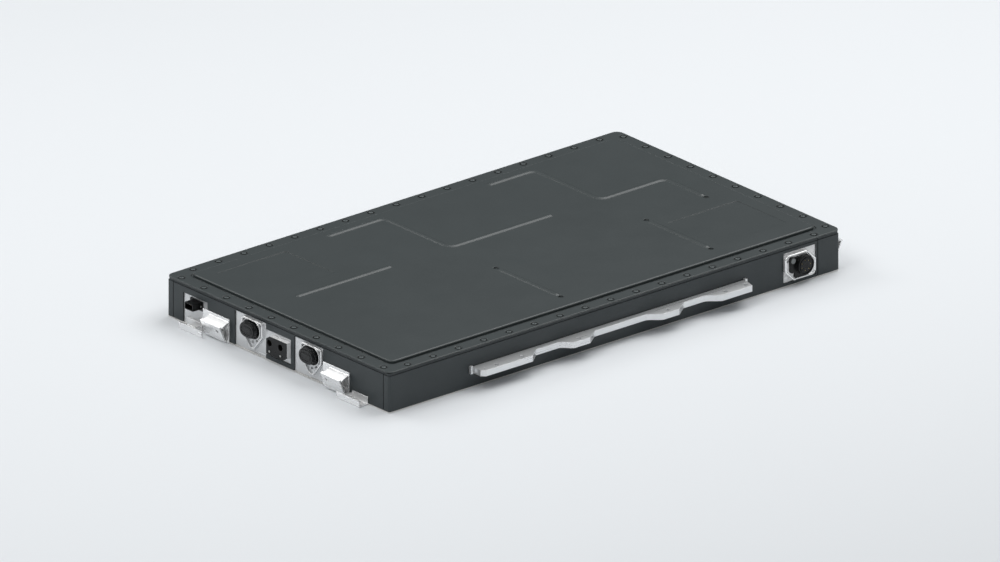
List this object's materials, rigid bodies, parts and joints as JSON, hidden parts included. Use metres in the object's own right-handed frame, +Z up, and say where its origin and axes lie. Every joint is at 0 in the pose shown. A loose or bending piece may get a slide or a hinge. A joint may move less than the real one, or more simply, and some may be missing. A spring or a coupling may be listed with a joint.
{
  "type": "electric vehicle battery pack",
  "caption": "Flat sealed traction battery pack with bolted stamped cover, end connectors, scalloped side rails and wedge brackets; cells, busbars and contactors inside",
  "frame": {"origin": "centre of the underside of the base plate", "axes": "X along the pack, its connector end at -X; Y across it; Z up"},
  "size_m": [1.4268, 0.8728, 0.1113],
  "materials": {
    "coated_casing": "satin dark grey powder coat",
    "coated_cover": "satin dark grey powder coat on stamped sheet",
    "bare_aluminium": "bare, finely brushed",
    "sheet_aluminium": "bare mill finish sheet",
    "coated_bolts": "dark zinc flake on steel",
    "steel_screws": "zinc plated",
    "steel_straps": "bare",
    "gasket_rubber": "matt black",
    "black_plastic": "fine grained",
    "cap_plastic": "fine grained, worn edges",
    "plug_plastic": "grey",
    "contact_metal": "plated",
    "pin_metal": "plated",
    "copper_bars": "bare copper",
    "cell_film": "insulating film on aluminium cans",
    "pad_gel": "soft gap filler",
    "insulation_film": "pressed board",
    "box_plastic": "moulded",
    "relay_body": "moulded",
    "fuse_body": "ceramic look"
  },
  "bodies": {
    "root": {"base_plate": "sheet_aluminium", "side_sill_left": "coated_casing", "side_sill_right": "coated_casing", "front_beam": "coated_casing", "rear_beam": "coated_casing", "cross_members": "sheet_aluminium", "connector_panel": "bare_aluminium", "cover": "coated_cover", "cover_gasket": "gasket_rubber", "cover_bolts": "coated_bolts", "base_plate_screws": "steel_screws", "hv_connector_left": "black_plastic", "hv_connector_right": "black_plastic", "hv_cap_left": "cap_plastic", "hv_cap_right": "cap_plastic", "connector_screws": "steel_screws", "power_socket_housing": "bare_aluminium", "power_socket_insert": "black_plastic", "power_contacts": "contact_metal", "signal_pins": "pin_metal", "low_voltage_connector": "black_plastic", "low_voltage_pins": "contact_metal", "wedge_bracket_left": "bare_aluminium", "wedge_bracket_right": "bare_aluminium", "rear_bracket_left": "bare_aluminium", "rear_bracket_right": "bare_aluminium", "tray_bracket_left": "bare_aluminium", "tray_bracket_right": "bare_aluminium", "side_rail_left": "bare_aluminium", "side_rail_right": "bare_aluminium", "charge_plate": "bare_aluminium", "charge_connector": "black_plastic", "charge_pins": "contact_metal", "charge_sealing_plug": "plug_plastic", "pressure_vent": "black_plastic", "vent_cap": "cap_plastic", "heat_spreader": "sheet_aluminium", "thermal_pads": "pad_gel", "battery_cells": "cell_film", "module_end_plates": "sheet_aluminium", "module_side_straps": "steel_straps", "cell_busbars": "copper_bars", "module_links": "copper_bars", "main_busbars": "copper_bars", "connector_busbars": "copper_bars", "insulation_sheet": "insulation_film", "junction_box": "box_plastic", "contactors": "relay_body", "main_fuse": "fuse_body", "battery_management_unit": "sheet_aluminium"}
  },
  "joints": []
}
